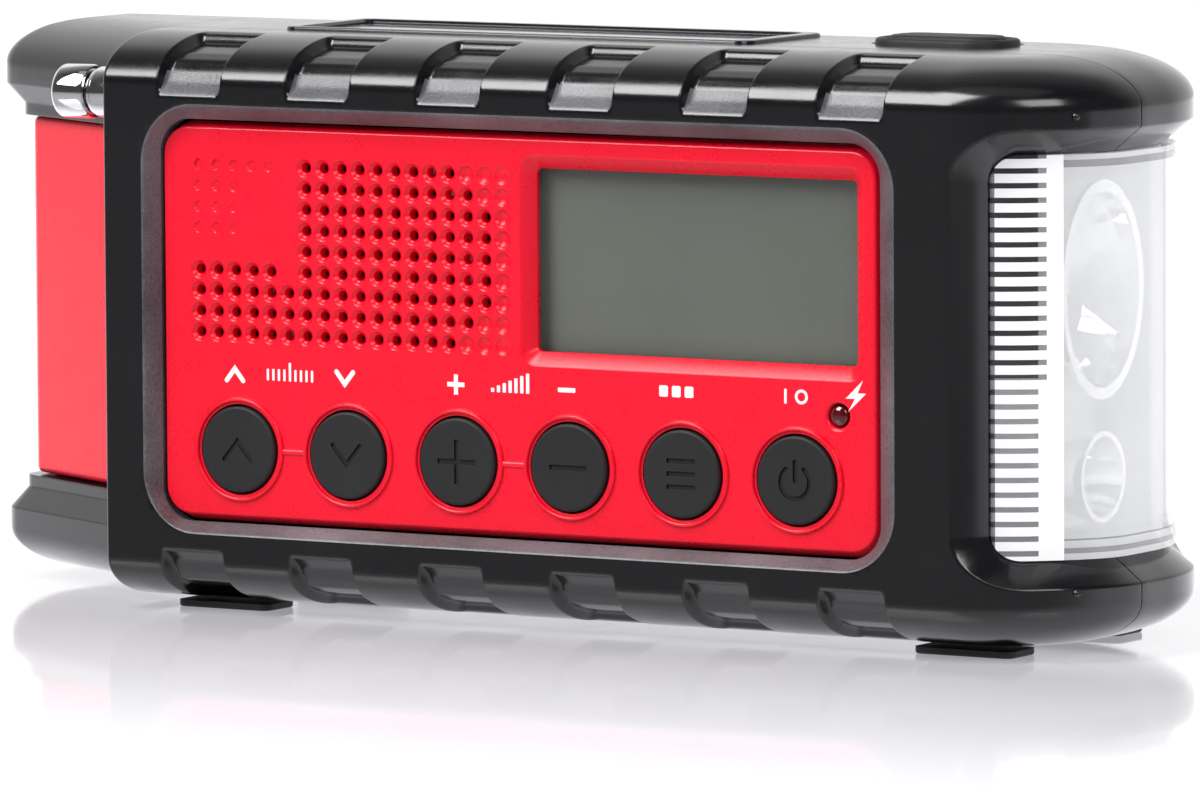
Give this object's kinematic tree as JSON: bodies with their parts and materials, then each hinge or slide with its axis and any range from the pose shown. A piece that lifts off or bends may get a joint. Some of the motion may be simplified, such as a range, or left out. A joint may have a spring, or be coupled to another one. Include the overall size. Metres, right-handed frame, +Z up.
{
  "type": "wind-up emergency radio",
  "caption": "Pocketable box radio with red front, speaker grille, display, push buttons, end lamp, pull-out antenna and a folding rear crank on a generator.",
  "frame": {"origin": "under the middle of the bounding box, on the surface the feet stand on", "axes": "+X along the front to the lamp end (right as seen from the front), -Y out of the front face, +Z up"},
  "size_m": [0.199, 0.058, 0.0855],
  "materials": {
    "black_plastic": "fine moulded grain, satin",
    "red_plastic": "satin gloss",
    "black_rubber": "matt",
    "clear_lens": "clear moulded polycarbonate, ribbed",
    "lcd": "grey-green display under a clear pane",
    "chrome": "polished plating",
    "steel": "zinc plated",
    "circuit_board": "green solder mask",
    "white_plastic": "natural acetal",
    "brass": "plain",
    "cone": "paper",
    "magnet": "ferrite",
    "solar_cell": "cells under clear resin",
    "battery_wrap": "shrink wrap",
    "led_white": "clear dome over a yellow phosphor",
    "led_red": "tinted dome"
  },
  "bodies": {
    "case": {"front_shell": "black_plastic", "rear_shell": "black_plastic", "left_end_panel": "red_plastic", "front_panel": "red_plastic", "lcd_window": "lcd", "lcd_module": "lcd", "button_board": "circuit_board", "charge_led": "led_red", "speaker_frame": "steel", "speaker_cone": "cone", "speaker_magnet": "magnet", "main_board": "circuit_board", "antenna_sleeve": "chrome", "antenna_clip": "black_plastic", "lamp_lens": "clear_lens", "lamp_reflector": "chrome", "lamp_led": "led_white", "beacon_reflector": "chrome", "lamp_board": "white_plastic", "solar_panel": "solar_cell", "lamp_switch_bezel": "black_rubber", "lamp_switch_board": "circuit_board", "gear_plate": "steel", "idler_axle": "steel", "generator_body": "steel", "battery_cell": "battery_wrap", "battery_contact_plus": "brass", "battery_contact_minus": "brass", "usb_out_port": "steel", "usb_in_port": "steel", "port_board": "circuit_board", "case_screw_1": "steel", "case_screw_2": "steel", "case_screw_3": "steel", "case_screw_4": "steel", "foot_front_left": "black_rubber", "foot_front_right": "black_rubber", "foot_rear_left": "black_rubber", "foot_rear_right": "black_rubber"},
    "tune_up": {"tune_up_button": "black_rubber"},
    "tune_down": {"tune_down_button": "black_rubber"},
    "volume_up": {"volume_up_button": "black_rubber"},
    "volume_down": {"volume_down_button": "black_rubber"},
    "menu": {"menu_button": "black_rubber"},
    "power": {"power_button": "black_rubber"},
    "lamp_switch": {"lamp_switch_button": "black_rubber"},
    "antenna_1": {"antenna_section_1": "chrome"},
    "antenna_2": {"antenna_section_2": "chrome"},
    "antenna_3": {"antenna_tip_rod": "chrome"},
    "crank": {"crank_shaft": "steel", "crank_arm": "black_plastic", "drive_gear": "white_plastic", "grip_pin": "steel"},
    "grip_stem": {"grip_spindle": "steel"},
    "grip": {"crank_grip": "black_rubber"},
    "idler": {"idler_gear": "white_plastic"},
    "generator_rotor": {"generator_pinion": "brass"},
    "door": {"battery_door": "black_plastic"},
    "cover": {"port_cover": "black_rubber"}
  },
  "joints": [
    {"name": "tune_up_press", "type": "slide", "parent": "case", "child": "tune_up", "axis": [0, 1, 0], "range_m": [0, 0.0008], "stiffness_N_per_m": 1800},
    {"name": "tune_down_press", "type": "slide", "parent": "case", "child": "tune_down", "axis": [0, 1, 0], "range_m": [0, 0.0008], "stiffness_N_per_m": 1800},
    {"name": "volume_up_press", "type": "slide", "parent": "case", "child": "volume_up", "axis": [0, 1, 0], "range_m": [0, 0.0008], "stiffness_N_per_m": 1800},
    {"name": "volume_down_press", "type": "slide", "parent": "case", "child": "volume_down", "axis": [0, 1, 0], "range_m": [0, 0.0008], "stiffness_N_per_m": 1800},
    {"name": "menu_press", "type": "slide", "parent": "case", "child": "menu", "axis": [0, 1, 0], "range_m": [0, 0.0008], "stiffness_N_per_m": 1800},
    {"name": "power_press", "type": "slide", "parent": "case", "child": "power", "axis": [0, 1, 0], "range_m": [0, 0.0008], "stiffness_N_per_m": 1800},
    {"name": "lamp_switch_press", "type": "slide", "parent": "case", "child": "lamp_switch", "axis": [0, 0, -1], "range_m": [0, 0.0008], "stiffness_N_per_m": 1800},
    {"name": "antenna_extend_1", "type": "slide", "parent": "case", "child": "antenna_1", "axis": [-1, 0, 0], "range_m": [0, 0.108]},
    {"name": "antenna_extend_2", "type": "slide", "parent": "antenna_1", "child": "antenna_2", "axis": [-1, 0, 0], "range_m": [0, 0.108]},
    {"name": "antenna_extend_3", "type": "slide", "parent": "antenna_2", "child": "antenna_3", "axis": [-1, 0, 0], "range_m": [0, 0.108]},
    {"name": "crank_spin", "type": "hinge", "parent": "case", "child": "crank", "pos_m": [0.0385, 0.0179, 0.0432], "axis": [0, 1, 0], "continuous": true},
    {"name": "grip_fold", "type": "hinge", "parent": "crank", "child": "grip_stem", "pos_m": [0.0135, 0.0251, 0.0432], "axis": [0, 0, 1], "range_deg": [0, 90]},
    {"name": "grip_spin", "type": "hinge", "parent": "grip_stem", "child": "grip", "pos_m": [0.0285, 0.0251, 0.0432], "axis": [1, 0, 0], "continuous": true},
    {"name": "idler_spin", "type": "hinge", "parent": "case", "child": "idler", "pos_m": [0.0125, 0.009, 0.0432], "axis": [0, 1, 0], "continuous": true},
    {"name": "generator_spin", "type": "hinge", "parent": "case", "child": "generator_rotor", "pos_m": [0.0125, 0.007, 0.0212], "axis": [0, 1, 0], "continuous": true},
    {"name": "battery_door_open", "type": "hinge", "parent": "case", "child": "door", "pos_m": [-0.0445, 0.0277, 0.0267], "axis": [-1, 0, 0], "range_deg": [0, 105]},
    {"name": "port_cover_open", "type": "hinge", "parent": "case", "child": "cover", "pos_m": [-0.0043, 0.0289, 0.0417], "axis": [0, 0, 1], "range_deg": [0, 100]}
  ],
  "couplings": [
    {"joint": "idler_spin", "follows": "crank_spin", "ratio": -3.3333},
    {"joint": "generator_spin", "follows": "crank_spin", "ratio": 8.8889}
  ]
}
